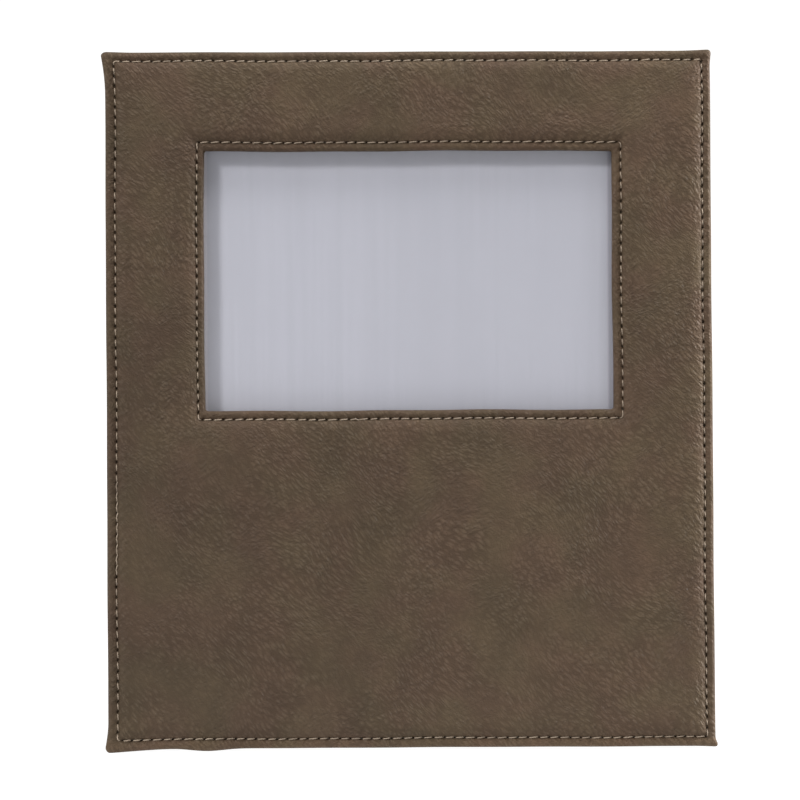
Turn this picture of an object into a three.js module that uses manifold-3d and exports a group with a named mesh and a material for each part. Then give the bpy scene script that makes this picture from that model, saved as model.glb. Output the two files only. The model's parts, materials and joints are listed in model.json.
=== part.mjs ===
import * as THREE from 'three';
import { mergeVertices } from 'three/addons/utils/BufferGeometryUtils.js';
import Module from 'manifold-3d';

const wasm = await Module();
wasm.setup();

// A stitched leatherette desk frame that leans back on a hinged easel leg.
// Sizes are in millimetres and angles in degrees. The panel is drawn upright: x runs to the right,
// z runs up, and y is the depth from the padded front face towards the back.

// Overall size and stance
const panelWidth = 209.55;
const panelHeight = 240.5;
const leanAngle = 12;
const legAngle = 25;
const floorFlat = 0.25;

// The print, and how far the window's edge laps over it
const printWidth = 152.4;
const printHeight = 101.6;
const printLap = 5.7;
const printPlay = 0.8;
const topMargin = 34.0;

// Thicknesses of the layers, and the gap between any two of them
const clearance = 0.3;
const skin = 1.0;
const turnIn = 0.8;
const paddingThickness = 1.0;
const frontBoardThickness = 2.0;
const paneThickness = 1.0;
const insertThickness = 0.5;
const backBoardThickness = 2.0;

// The panel's outline, with the leatherette bunched into small ears at its corners
const cornerRadius = 1.5;
const earLength = 9;
const sideEar = 1.0;
const topEar = 0.5;
const bottomEar = 1.0;
const backInset = 0.4;
const turnInWidth = 12;
const windowTurnInWidth = 8;

// The stitched edges: the rim outside the seam, the seam's groove and the padding's flank
const seamInset = 3.0;
const windowSeamInset = 2.7;
const rimDrop = 1.0;
const rimRound = 1.9;
const lipRound = 1.6;
const padFlank = 3.0;
const backRound = 1.0;
const windowRadius = 1.5;
const stitchPitch = 3.6;
const threadWidth = 0.7;
const threadHeight = 0.55;
const threadDip = 0.3;
const threadNeck = 0.6;

// The spacer between the two panels, and the top-loading slot that it leaves
const spacerInset = 1.2;
const slotMouthInset = 2.0;

// The easel leg
const hingeHeight = 165;
const legTopWidth = 40;
const legFootWidth = 78;
const legCornerRadius = 9;
const legTurnInWidth = 7;
const legTopDrop = 3.4;
const legFootWall = 3.0;
const legFootDepth = 3.0;

// The hinge and its rivets
const hingeWidth = 36;
const leafHeight = 14;
const leafThickness = 0.8;
const knuckleRadius = 1.6;
const middleKnuckle = 14;
const pinRadius = 0.8;
const rivetSpacing = 24;
const rivetSeat = 9;
const shankRadius = 1.1;
const rivetHeadRadius = 2.6;
const rivetHeadHeight = 0.7;

// The ribbon that stops the leg, held by a rivet at each end
const ribbonWidth = 12;
const ribbonThickness = 0.4;
const ribbonReach = 125;
const ribbonTab = 6;

// How finely round stretches are drawn
const cornerSteps = 3;
const roundSteps = 3;
const flankSteps = 3;
const seamCornerSteps = 12;
const cylinderSides = 16;
const cutterReach = 1;

// Depths worked out from the front face backwards
const paddingFront = skin + clearance;
const frontBoardFront = paddingFront + paddingThickness + clearance;
const frontBoardBack = frontBoardFront + frontBoardThickness;
const frontTurnInFront = frontBoardBack + clearance;
const frontPanelBack = frontTurnInFront + turnIn;
const paneFront = frontPanelBack + clearance;
const insertFront = paneFront + paneThickness + clearance;
const insertBack = insertFront + insertThickness;
const backPanelFront = insertBack + clearance;
const backTurnInBack = backPanelFront + turnIn;
const backBoardFront = backTurnInBack + clearance;
const backBoardBack = backBoardFront + backBoardThickness;
const panelDepth = backBoardBack + clearance + skin;

// The window's opening, and the stitched groove's section
const windowWidth = printWidth - 2 * printLap;
const windowHeight = printHeight - 2 * printLap;
const windowCentre = panelHeight - topMargin - windowHeight / 2;
const grooveHalf = threadWidth / 2 + clearance;
const threadBase = rimDrop + threadDip;
const grooveFloor = threadBase + clearance;

// The slot's contents rest on the spacer's sill, below the window
const slotWidth = printWidth + 2 * printPlay;
const sillHeight = windowCentre - printHeight / 2 - printPlay;

// The hinge's axis and the leg's layers, measured from that axis with the leg folded down
const axisDepth = panelDepth + clearance + knuckleRadius;
const leafNear = -knuckleRadius;
const leafFar = leafNear + leafThickness;
const legInner = leafFar + clearance;
const legBoardFront = legInner + turnIn + clearance;
const legBoardBack = legBoardFront + backBoardThickness;
const legOuter = legBoardBack + clearance + skin;

const lean = THREE.MathUtils.degToRad(leanAngle);
const legOpening = THREE.MathUtils.degToRad(leanAngle + legAngle);

// The panel stands on the rear edge of its underside, which is pressed flat
const restDepth = panelDepth - backRound;
const lift = restDepth * Math.sin(lean) - backInset * Math.cos(lean) - floorFlat;
const panelToWorld = new THREE.Matrix4()
  .makeTranslation(0, 0, lift)
  .multiply(new THREE.Matrix4().makeRotationX(-lean));
const legToPanel = new THREE.Matrix4()
  .makeTranslation(0, axisDepth, hingeHeight)
  .multiply(new THREE.Matrix4().makeRotationX(legOpening));
const legToWorld = panelToWorld.clone().multiply(legToPanel);
const axisHeight = new THREE.Vector3().setFromMatrixPosition(legToWorld).z;
const legReach = (axisHeight + legFootDepth * Math.sin(legOpening - lean)) / Math.cos(legOpening - lean);

// Materials
const leatherette = new THREE.MeshStandardMaterial({ color: '#5c4f3f', roughness: 0.55, metalness: 0 });
const thread = new THREE.MeshStandardMaterial({ color: '#a89b8c', roughness: 0.8, metalness: 0 });
const foam = new THREE.MeshStandardMaterial({ color: '#d9d5c9', roughness: 0.95, metalness: 0 });
const greyBoard = new THREE.MeshStandardMaterial({ color: '#8b8478', roughness: 0.9, metalness: 0 });
const acrylic = new THREE.MeshStandardMaterial({
  color: '#eef0f4',
  roughness: 0.08,
  metalness: 0,
  transparent: true,
  opacity: 0.3,
});
const insertCard = new THREE.MeshStandardMaterial({ color: '#b1b1bb', roughness: 0.7, metalness: 0 });
const liningPaper = new THREE.MeshStandardMaterial({ color: '#3b352d', roughness: 0.9, metalness: 0 });
const metal = new THREE.MeshStandardMaterial({ color: '#b8b2a4', roughness: 0.35, metalness: 1 });
const ribbonCloth = new THREE.MeshStandardMaterial({ color: '#4a3f33', roughness: 0.75, metalness: 0 });

// A closed mesh as a solid that can be joined and cut, and back again
function toSolid(geometry) {
  geometry.deleteAttribute('normal');
  geometry.deleteAttribute('uv');
  const merged = mergeVertices(geometry);
  const vertProperties = new Float32Array(merged.attributes.position.array);
  const triVerts = new Uint32Array(merged.index.array);
  return new wasm.Manifold(new wasm.Mesh({ numProp: 3, vertProperties, triVerts }));
}

function toGeometry(solid) {
  const mesh = solid.getMesh();
  const geometry = new THREE.BufferGeometry();
  geometry.setAttribute('position', new THREE.BufferAttribute(mesh.vertProperties, 3));
  geometry.setIndex(new THREE.BufferAttribute(mesh.triVerts, 1));
  geometry.computeVertexNormals();
  return geometry;
}

function cut(geometry, cutters) {
  let solid = toSolid(geometry);
  for (const cutter of cutters) {
    solid = solid.subtract(toSolid(cutter));
  }
  return toGeometry(solid);
}

function join(geometries) {
  let solid = toSolid(geometries[0]);
  for (const geometry of geometries.slice(1)) {
    solid = solid.add(toSolid(geometry));
  }
  return toGeometry(solid);
}

// The centres of a rectangle's corner arcs, anticlockwise from the lower left
function rectangleCentres(width, height, radius, centreZ) {
  const x = width / 2 - radius;
  const z = height / 2 - radius;
  return [
    new THREE.Vector2(-x, centreZ - z),
    new THREE.Vector2(x, centreZ - z),
    new THREE.Vector2(x, centreZ + z),
    new THREE.Vector2(-x, centreZ + z),
  ];
}

// Points round a convex outline: an arc of the given radius about each centre
function roundedOutline(centres, radius, steps) {
  const points = [];
  centres.forEach((centre, index) => {
    const before = centres[(index + centres.length - 1) % centres.length];
    const after = centres[(index + 1) % centres.length];
    const quarterTurn = Math.PI / 2;
    const start = centre.clone().sub(before).angle() - quarterTurn;
    let end = after.clone().sub(centre).angle() - quarterTurn;
    if (end < start) {
      end += 2 * Math.PI;
    }
    for (let step = 0; step <= steps; step += 1) {
      const angle = start + ((end - start) * step) / steps;
      points.push(new THREE.Vector2(centre.x + radius * Math.cos(angle), centre.y + radius * Math.sin(angle)));
    }
  });
  return points;
}

// A rounded rectangle that lies a given distance inside the panel's edge
function panelOutline(inset) {
  const radius = Math.max(cornerRadius - inset, clearance);
  const width = panelWidth - 2 * inset;
  const height = panelHeight - 2 * inset;
  return roundedOutline(rectangleCentres(width, height, radius, panelHeight / 2), radius, cornerSteps);
}

// A rounded rectangle that lies a given distance outside the window's edge
function windowOutline(outset) {
  const radius = windowRadius + outset / 2;
  const width = windowWidth + 2 * outset;
  const height = windowHeight + 2 * outset;
  return roundedOutline(rectangleCentres(width, height, radius, windowCentre), radius, cornerSteps);
}

// The bunched corners push a point outwards, less and less away from the corner
function bunched(point) {
  const fade = (distance) => Math.max(1 - distance / earLength, 0) ** 2;
  const above = point.y > panelHeight / 2;
  const toSide = panelWidth / 2 - Math.abs(point.x);
  const toEnd = above ? panelHeight - point.y : point.y;
  const share = fade(Math.max(toSide, 0)) * fade(Math.max(toEnd, 0));
  const endEar = above ? topEar : -bottomEar;
  return new THREE.Vector2(point.x + Math.sign(point.x) * sideEar * share, point.y + endEar * share);
}

// The front cover's outline: extra points beside each corner carry the bunched leatherette
function bunchedOutline(inset) {
  const outline = panelOutline(inset);
  const points = [];
  const perCorner = cornerSteps + 1;
  const stations = [earLength, earLength / 2, earLength / 4];
  for (let corner = 0; corner < 4; corner += 1) {
    const arc = outline.slice(corner * perCorner, (corner + 1) * perCorner);
    const before = outline[(corner * perCorner + outline.length - 1) % outline.length];
    const after = outline[((corner + 1) * perCorner) % outline.length];
    const toBefore = before.clone().sub(arc[0]).normalize();
    const toAfter = after.clone().sub(arc[cornerSteps]).normalize();
    for (const station of stations) {
      points.push(arc[0].clone().addScaledVector(toBefore, station));
    }
    points.push(...arc);
    for (const station of stations.toReversed()) {
      points.push(arc[cornerSteps].clone().addScaledVector(toAfter, station));
    }
  }
  return points.map(bunched);
}

// A closed mesh over a stack of outlines, each at its own depth, from the front one to the back one
function loft(layers) {
  const count = layers[0].outline.length;
  const positions = [];
  const indices = [];
  for (const { outline, depth } of layers) {
    for (const point of outline) {
      positions.push(point.x, depth, point.y);
    }
  }
  for (let layer = 0; layer < layers.length - 1; layer += 1) {
    for (let index = 0; index < count; index += 1) {
      const a = layer * count + index;
      const b = layer * count + ((index + 1) % count);
      indices.push(a, a + count, b + count, a, b + count, b);
    }
  }
  for (const end of [0, layers.length - 1]) {
    const { outline, depth } = layers[end];
    const middle = outline.reduce((sum, point) => sum.add(point), new THREE.Vector2()).divideScalar(count);
    const centre = positions.length / 3;
    positions.push(middle.x, depth, middle.y);
    for (let index = 0; index < count; index += 1) {
      const a = end * count + index;
      const b = end * count + ((index + 1) % count);
      indices.push(...(end === 0 ? [centre, a, b] : [centre, b, a]));
    }
  }
  const geometry = new THREE.BufferGeometry();
  geometry.setAttribute('position', new THREE.Float32BufferAttribute(positions, 3));
  geometry.setIndex(indices);
  geometry.computeVertexNormals();
  return geometry;
}

// A flat plate of a given outline, with an optional hole, between two depths
function plate(outline, from, to, hole) {
  const shape = new THREE.Shape(outline);
  if (hole) {
    shape.holes.push(new THREE.Path(hole));
  }
  const geometry = new THREE.ExtrudeGeometry(shape, { depth: to - from, bevelEnabled: false });
  return geometry.rotateX(Math.PI / 2).translate(0, to, 0);
}

// A box between two corners
function block(low, high) {
  const size = high.clone().sub(low);
  const centre = low.clone().add(high).divideScalar(2);
  return new THREE.BoxGeometry(size.x, size.y, size.z).translate(centre.x, centre.y, centre.z);
}

// A quarter round from a flat face at one end to an upright wall at the other, in [inset, depth]
function quarterRound(from, to) {
  const points = [];
  for (let step = 0; step <= roundSteps; step += 1) {
    const angle = (Math.PI / 2) * (step / roundSteps);
    const inset = from[0] + (to[0] - from[0]) * Math.sin(angle);
    const depth = from[1] + (to[1] - from[1]) * (1 - Math.cos(angle));
    points.push([inset, depth]);
  }
  return points;
}

// The padding's soft flank, from its full height down to the seam, in [inset, depth]
function flank(from, to) {
  const points = [];
  for (let step = 0; step <= flankSteps; step += 1) {
    const along = step / flankSteps;
    const fall = (1 - Math.cos(Math.PI * along)) / 2;
    points.push([from[0] + (to[0] - from[0]) * along, from[1] + (to[1] - from[1]) * fall]);
  }
  return points;
}

// The stitched front, from the padding outwards over the seam and the rim to the panel's back
function outerProfile() {
  const inner = seamInset + grooveHalf;
  const outer = seamInset - grooveHalf;
  return [
    ...flank([inner + padFlank, 0], [inner, rimDrop]),
    [inner, grooveFloor],
    [outer, grooveFloor],
    ...quarterRound([outer, rimDrop], [0, rimDrop + rimRound]),
    [0, frontPanelBack - turnIn],
    [turnIn, frontPanelBack],
  ];
}

// The same towards the window, down over its turned edge
function windowProfile() {
  const outer = windowSeamInset + grooveHalf;
  const inner = windowSeamInset - grooveHalf;
  return [
    [outer + padFlank, -cutterReach],
    ...flank([outer + padFlank, 0], [outer, rimDrop]),
    [outer, grooveFloor],
    [inner, grooveFloor],
    ...quarterRound([inner, rimDrop], [0, rimDrop + lipRound]),
    [0, frontPanelBack + cutterReach],
  ];
}

function frontCover() {
  const body = loft(outerProfile().map(([inset, depth]) => ({ outline: bunchedOutline(inset), depth })));
  const opening = loft(windowProfile().map(([outset, depth]) => ({ outline: windowOutline(outset), depth })));
  const padInset = seamInset + grooveHalf + skin;
  const padOutset = windowSeamInset + grooveHalf + skin;
  const cavityFront = frontBoardFront - clearance;
  const padPocket = plate(panelOutline(padInset), skin, cavityFront + clearance, windowOutline(padOutset));
  const boardPocket = plate(panelOutline(skin), cavityFront, frontTurnInFront, windowOutline(skin));
  const backOpening = plate(
    panelOutline(turnInWidth),
    frontBoardBack,
    frontPanelBack + cutterReach,
    windowOutline(windowTurnInWidth),
  );
  return cut(body, [opening, padPocket, boardPocket, backOpening]);
}

function frontPadding() {
  const inset = seamInset + grooveHalf + skin + clearance;
  const outset = windowSeamInset + grooveHalf + skin + clearance;
  return plate(panelOutline(inset), paddingFront, paddingFront + paddingThickness, windowOutline(outset));
}

function frontBoard() {
  const edge = skin + clearance;
  return plate(panelOutline(edge), frontBoardFront, frontBoardBack, windowOutline(edge));
}

// One thread that runs round a seam, high over each stitch and low between two of them
function seamThread(outline) {
  const path = new THREE.Path([...outline, outline[0]]);
  const stitches = Math.round(path.getLength() / stitchPitch);
  const points = path.getSpacedPoints(2 * stitches).slice(0, -1);
  const positions = [];
  const indices = [];
  points.forEach((point, index) => {
    const next = points[(index + 1) % points.length];
    const last = points[(index + points.length - 1) % points.length];
    const along = next.clone().sub(last).normalize();
    const onStitch = index % 2 === 0;
    const half = (threadWidth / 2) * (onStitch ? 1 : threadNeck);
    const crest = threadBase - (onStitch ? threadHeight : threadHeight - threadDip);
    const left = bunched(new THREE.Vector2(point.x - along.y * half, point.y + along.x * half));
    const right = bunched(new THREE.Vector2(point.x + along.y * half, point.y - along.x * half));
    const middle = bunched(point);
    positions.push(left.x, threadBase, left.y);
    positions.push(right.x, threadBase, right.y);
    positions.push(middle.x, crest, middle.y);
    for (let side = 0; side < 3; side += 1) {
      const a = index * 3 + side;
      const b = index * 3 + ((side + 1) % 3);
      const c = ((index + 1) % points.length) * 3 + side;
      const d = ((index + 1) % points.length) * 3 + ((side + 1) % 3);
      indices.push(a, c, b, b, c, d);
    }
  });
  const geometry = new THREE.BufferGeometry();
  geometry.setAttribute('position', new THREE.Float32BufferAttribute(positions, 3));
  geometry.setIndex(indices);
  geometry.computeVertexNormals();
  return geometry;
}

function outerStitching() {
  const width = panelWidth - 2 * seamInset;
  const height = panelHeight - 2 * seamInset;
  const centres = rectangleCentres(width, height, cornerRadius, panelHeight / 2);
  return seamThread(roundedOutline(centres, cornerRadius, seamCornerSteps));
}

function windowStitching() {
  const radius = windowRadius + windowSeamInset / 2;
  const width = windowWidth + 2 * windowSeamInset;
  const height = windowHeight + 2 * windowSeamInset;
  const centres = rectangleCentres(width, height, radius, windowCentre);
  return seamThread(roundedOutline(centres, radius, seamCornerSteps));
}

// The pane and the insert card fill the slot's width and reach nearly to its mouth
function slotSheet(front, thickness) {
  const half = slotWidth / 2 - clearance;
  const low = new THREE.Vector3(-half, front, sillHeight + clearance);
  const high = new THREE.Vector3(half, front + thickness, panelHeight - slotMouthInset);
  return block(low, high);
}

function spacerFrame() {
  const side = panelWidth / 2 - spacerInset;
  const slot = slotWidth / 2;
  const top = panelHeight - spacerInset;
  const outline = [
    new THREE.Vector2(-side, spacerInset),
    new THREE.Vector2(side, spacerInset),
    new THREE.Vector2(side, top),
    new THREE.Vector2(slot, top),
    new THREE.Vector2(slot, sillHeight),
    new THREE.Vector2(-slot, sillHeight),
    new THREE.Vector2(-slot, top),
    new THREE.Vector2(-side, top),
  ];
  return plate(outline, paneFront, insertBack);
}

// A round cutter or pin that runs through the depth at a given place
function rod(x, z, radius, from, to) {
  const length = to - from;
  return new THREE.CylinderGeometry(radius, radius, length, cylinderSides).translate(x, from + length / 2, z);
}

// The rivets' places: two on each hinge leaf and one at each end of the ribbon
const hingeRivets = [-rivetSpacing / 2, rivetSpacing / 2];
const ribbonSeat = hingeHeight - ribbonReach;
const panelRivets = [
  ...hingeRivets.map((x) => [x, hingeHeight + rivetSeat]),
  [0, ribbonSeat],
];

function panelRivetHoles() {
  const radius = shankRadius + clearance;
  return panelRivets.map(([x, z]) => rod(x, z, radius, backPanelFront, panelDepth + cutterReach));
}

// The hinge's rivets go right through the leg, and the ribbon's stops behind its board
function legRivetHoles() {
  const radius = shankRadius + clearance;
  const near = legInner - cutterReach;
  return [
    ...hingeRivets.map((x) => rod(x, -rivetSeat, radius, near, legOuter + cutterReach)),
    rod(0, -ribbonReach, radius, near, legBoardBack + clearance / 2),
  ];
}

// Everything below the floor, in the frame of the piece that stands on it
function belowFloor(toWorld) {
  const low = new THREE.Vector3(-panelWidth, -panelHeight, -panelHeight);
  const high = new THREE.Vector3(panelWidth, panelHeight, 0);
  return block(low, high).applyMatrix4(toWorld.clone().invert());
}

function backCover() {
  const profile = [
    [backInset + turnIn, backPanelFront],
    [backInset, backPanelFront + turnIn],
    ...quarterRound([backInset + backRound, panelDepth], [backInset, panelDepth - backRound]).reverse(),
  ];
  const body = loft(profile.map(([inset, depth]) => ({ outline: panelOutline(inset), depth })));
  const edge = backInset + skin;
  const boardPocket = plate(panelOutline(edge), backTurnInBack, backBoardBack + clearance);
  const opening = plate(panelOutline(turnInWidth), backPanelFront - cutterReach, backBoardFront);
  return cut(body, [boardPocket, opening, belowFloor(panelToWorld), ...panelRivetHoles()]);
}

function backBoard() {
  const outline = panelOutline(backInset + skin + clearance);
  return cut(plate(outline, backBoardFront, backBoardBack), panelRivetHoles());
}

function backLining() {
  return plate(panelOutline(turnInWidth + clearance), backPanelFront, backTurnInBack);
}

// The leg widens towards its foot; its corner arcs share their centres at every inset
function legOutline(inset, footWall) {
  const top = -legTopDrop - legCornerRadius;
  const foot = -legReach + legCornerRadius + footWall;
  const centres = [
    new THREE.Vector2(-legFootWidth / 2 + legCornerRadius, foot),
    new THREE.Vector2(legFootWidth / 2 - legCornerRadius, foot),
    new THREE.Vector2(legTopWidth / 2 - legCornerRadius, top),
    new THREE.Vector2(-legTopWidth / 2 + legCornerRadius, top),
  ];
  return roundedOutline(centres, legCornerRadius - inset, cornerSteps);
}

function legCover() {
  const profile = [
    [turnIn, legInner],
    [0, legInner + turnIn],
    ...quarterRound([skin, legOuter], [0, legOuter - skin]).reverse(),
  ];
  const body = loft(profile.map(([inset, depth]) => ({ outline: legOutline(inset, 0), depth })));
  const boardPocket = plate(legOutline(skin, legFootWall - clearance), legInner + turnIn, legOuter - skin);
  const opening = plate(legOutline(legTurnInWidth, legFootWall), legInner - cutterReach, legBoardFront);
  return cut(body, [boardPocket, opening, belowFloor(legToWorld), ...legRivetHoles()]);
}

function legBoard() {
  const outline = legOutline(skin + clearance, legFootWall);
  return cut(plate(outline, legBoardFront, legBoardBack), legRivetHoles());
}

function legLining() {
  const outline = legOutline(legTurnInWidth + clearance, legFootWall + clearance);
  return cut(plate(outline, legInner, legInner + turnIn), legRivetHoles());
}

// A cylinder along the hinge's axis, between two places across the frame
function axle(radius, from, to) {
  const length = to - from;
  const geometry = new THREE.CylinderGeometry(radius, radius, length, cylinderSides);
  return geometry.rotateZ(Math.PI / 2).translate(from + length / 2, 0, 0);
}

// A hinge leaf above or below the axis, rolled into a knuckle over each of the given stretches
function hingeLeaf(direction, stretches) {
  const clear = knuckleRadius + 2 * clearance;
  const half = hingeWidth / 2;
  const corner = (x, y, z) => new THREE.Vector3(x, y, direction * z);
  const slab = (x0, x1, z0, z1) => {
    const box = new THREE.Box3().setFromPoints([corner(x0, leafNear, z0), corner(x1, leafFar, z1)]);
    return block(box.min, box.max);
  };
  const pieces = [slab(-half, half, clear, leafHeight)];
  for (const [from, to] of stretches) {
    pieces.push(slab(from, to, 0, clear + clearance));
    pieces.push(axle(knuckleRadius, from, to));
  }
  const bore = axle(pinRadius + clearance, -hingeWidth, hingeWidth);
  const holes = hingeRivets.map((x) => {
    const z = direction * rivetSeat;
    return rod(x, z, shankRadius + clearance, leafNear - cutterReach, leafFar + cutterReach);
  });
  return cut(join(pieces), [bore, ...holes]);
}

// A rivet whose domed head sits on a face at y = 0 and whose shank runs down to a given depth
function rivet(shankLength) {
  const points = [
    new THREE.Vector2(0, -shankLength),
    new THREE.Vector2(shankRadius, -shankLength),
    new THREE.Vector2(shankRadius, 0),
    new THREE.Vector2(rivetHeadRadius, 0),
  ];
  for (let step = 1; step <= roundSteps; step += 1) {
    const angle = (Math.PI / 2) * (step / roundSteps);
    points.push(new THREE.Vector2(rivetHeadRadius * Math.cos(angle), rivetHeadHeight * Math.sin(angle)));
  }
  points[points.length - 1].x = 0;
  return new THREE.LatheGeometry(points, cylinderSides);
}

// The ribbon: a tab on the panel's back, the taut stretch, and a tab on the leg's inner face
function stayRibbon() {
  const onPanel = (z) => new THREE.Vector2(panelDepth + clearance + ribbonThickness / 2, z);
  const onLeg = (z) => {
    const y = legInner - clearance - ribbonThickness / 2;
    const place = new THREE.Vector3(0, y, z).applyMatrix4(legToPanel);
    return new THREE.Vector2(place.y, place.z);
  };
  const route = [
    onPanel(ribbonSeat + ribbonTab),
    onPanel(ribbonSeat - ribbonTab),
    onLeg(-ribbonReach - ribbonTab),
    onLeg(-ribbonReach + ribbonTab),
  ];
  const sides = [[], []];
  route.forEach((point, index) => {
    const before = route[index - 1] ?? point;
    const after = route[index + 1] ?? point;
    const inward = point.clone().sub(before).normalize();
    const outward = after.clone().sub(point).normalize();
    const along = inward.clone().add(outward).normalize();
    const mitre = Math.max(along.dot(outward), along.dot(inward));
    const half = ribbonThickness / 2 / mitre;
    sides[0].push(new THREE.Vector2(point.x - along.y * half, point.y + along.x * half));
    sides[1].unshift(new THREE.Vector2(point.x + along.y * half, point.y - along.x * half));
  });
  const shape = new THREE.Shape([...sides[0], ...sides[1]]);
  const strip = new THREE.ExtrudeGeometry(shape, { depth: ribbonWidth, bevelEnabled: false });
  const turn = new THREE.Matrix4().set(0, 0, 1, -ribbonWidth / 2, 1, 0, 0, 0, 0, 1, 0, 0, 0, 0, 0, 1);
  strip.applyMatrix4(turn);
  const radius = shankRadius + clearance;
  const reach = clearance + ribbonThickness + cutterReach;
  const panelHole = rod(0, ribbonSeat, radius, panelDepth, panelDepth + reach);
  const legHole = rod(0, -ribbonReach, radius, legInner - reach, legInner).applyMatrix4(legToPanel);
  return cut(strip, [panelHole, legHole]);
}

function addPiece(group, name, geometry, material) {
  const mesh = new THREE.Mesh(geometry, material);
  mesh.name = name;
  group.add(mesh);
  return mesh;
}

// The leaning panel
const panel = new THREE.Group();
panel.rotation.x = -lean;
panel.position.z = lift;
addPiece(panel, 'front_cover', frontCover(), leatherette);
addPiece(panel, 'front_padding', frontPadding(), foam);
addPiece(panel, 'front_board', frontBoard(), greyBoard);
addPiece(panel, 'outer_stitching', outerStitching(), thread);
addPiece(panel, 'window_stitching', windowStitching(), thread);
addPiece(panel, 'window_pane', slotSheet(paneFront, paneThickness), acrylic);
addPiece(panel, 'photo_insert', slotSheet(insertFront, insertThickness), insertCard);
addPiece(panel, 'spacer_frame', spacerFrame(), greyBoard);
addPiece(panel, 'back_lining', backLining(), liningPaper);
addPiece(panel, 'back_board', backBoard(), greyBoard);
addPiece(panel, 'back_cover', backCover(), leatherette);
addPiece(panel, 'stay_ribbon', stayRibbon(), ribbonCloth);

// The hinge's fixed half, with the pin
const hinge = new THREE.Group();
hinge.position.set(0, axisDepth, hingeHeight);
panel.add(hinge);
const sideKnuckle = middleKnuckle / 2 + clearance;
const sideStretches = [
  [-hingeWidth / 2, -sideKnuckle],
  [sideKnuckle, hingeWidth / 2],
];
addPiece(hinge, 'hinge_fixed_leaf', hingeLeaf(1, sideStretches), metal);
addPiece(hinge, 'hinge_pin', axle(pinRadius, -hingeWidth / 2, hingeWidth / 2), metal);
const fixedShank = axisDepth + leafFar + clearance - backBoardFront;
hingeRivets.forEach((x, index) => {
  const name = `hinge_fixed_rivet_${index === 0 ? 'left' : 'right'}`;
  const mesh = addPiece(hinge, name, rivet(fixedShank), metal);
  mesh.position.set(x, leafFar + clearance, rivetSeat);
});
const ribbonFace = clearance + ribbonThickness + clearance;
const backRivet = addPiece(panel, 'ribbon_rivet_back', rivet(panelDepth + ribbonFace - backBoardFront), metal);
backRivet.position.set(0, panelDepth + ribbonFace, ribbonSeat);

// The leg, drawn hanging straight down from the hinge's axis and then swung out
const leg = new THREE.Group();
leg.position.set(0, axisDepth, hingeHeight);
leg.rotation.x = legOpening;
panel.add(leg);
addPiece(leg, 'leg_cover', legCover(), leatherette);
addPiece(leg, 'leg_board', legBoard(), greyBoard);
addPiece(leg, 'leg_lining', legLining(), liningPaper);
addPiece(leg, 'hinge_leg_leaf', hingeLeaf(-1, [[-middleKnuckle / 2, middleKnuckle / 2]]), metal);
hingeRivets.forEach((x, index) => {
  const name = `hinge_leg_rivet_${index === 0 ? 'left' : 'right'}`;
  const mesh = addPiece(leg, name, rivet(legOuter + clearance - leafNear), metal);
  mesh.position.set(x, legOuter + clearance, -rivetSeat);
});
const legRivet = addPiece(leg, 'ribbon_rivet_leg', rivet(legBoardBack - legInner + ribbonFace), metal);
legRivet.rotation.x = Math.PI;
legRivet.position.set(0, legInner - ribbonFace, -ribbonReach);

// The whole frame, with the middle of its footprint at the origin
const frame = new THREE.Group();
frame.add(panel);
const extent = new THREE.Box3().setFromObject(frame, true);
panel.position.y = -(extent.min.y + extent.max.y) / 2;

export default frame;
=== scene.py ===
import json
import math

import bpy
import numpy as np
from mathutils import Matrix, Vector, geometry


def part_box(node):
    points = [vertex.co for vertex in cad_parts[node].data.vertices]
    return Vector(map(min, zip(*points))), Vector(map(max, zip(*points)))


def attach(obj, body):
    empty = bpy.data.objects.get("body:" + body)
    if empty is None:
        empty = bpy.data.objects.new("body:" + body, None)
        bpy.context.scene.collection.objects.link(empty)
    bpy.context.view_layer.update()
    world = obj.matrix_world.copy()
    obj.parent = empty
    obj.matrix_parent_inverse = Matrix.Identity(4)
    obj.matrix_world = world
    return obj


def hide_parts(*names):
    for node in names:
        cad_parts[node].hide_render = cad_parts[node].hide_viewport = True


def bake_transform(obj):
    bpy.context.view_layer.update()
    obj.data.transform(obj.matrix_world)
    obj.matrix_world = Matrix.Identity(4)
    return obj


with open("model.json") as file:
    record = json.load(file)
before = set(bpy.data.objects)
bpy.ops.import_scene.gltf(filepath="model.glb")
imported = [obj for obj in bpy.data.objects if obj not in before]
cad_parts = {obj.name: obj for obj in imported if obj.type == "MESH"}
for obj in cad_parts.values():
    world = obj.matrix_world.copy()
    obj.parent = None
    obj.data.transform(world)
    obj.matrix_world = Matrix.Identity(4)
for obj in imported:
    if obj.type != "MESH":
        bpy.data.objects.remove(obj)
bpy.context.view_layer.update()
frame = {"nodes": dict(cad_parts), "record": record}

# Sizes in millimetres on the upright panel: x to the right, z up, depth from the front backwards
PANEL_WIDTH = 209.55
PANEL_HEIGHT = 240.5
WINDOW_WIDTH = 141.0
WINDOW_HEIGHT = 90.2
WINDOW_CENTRE = 161.4
MM = 0.001

# Corner radii: of the panel, the window, the two seams and the inner ends of the stitched bands
CORNER_RADIUS = 1.3
WINDOW_RADIUS = 0.9
SEAM_RADIUS = 0.7
INNER_RADIUS = 2.0

# Each seam's place, the rolled edge outside it, and the fall from there into its groove
SEAM_INSET = 3.0
WINDOW_SEAM = 2.7
RIM_DROP = 1.0
RIM_WIDTH = 1.5
RIM_ROUND = 1.8
LIP_WIDTH = 1.6
LIP_ROUND = 1.6
GROOVE_FALL = 0.6
STITCH_PITCH = 3.6
THREAD_RADIUS = 0.19

# How fast the padding rises beside each seam, and where its band ends
PAD_FLANK = 2.5
WINDOW_FLANK = 3.6
BAND_END = 9.0
WINDOW_BAND_END = 8.0

# The turned edges of the front skin: their depths, and how far they reach in behind
FRONT_BACK = 5.7
SIDE_BACK = 4.9
TURN_IN = 12.0
WINDOW_TURN_IN = 8.0

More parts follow.
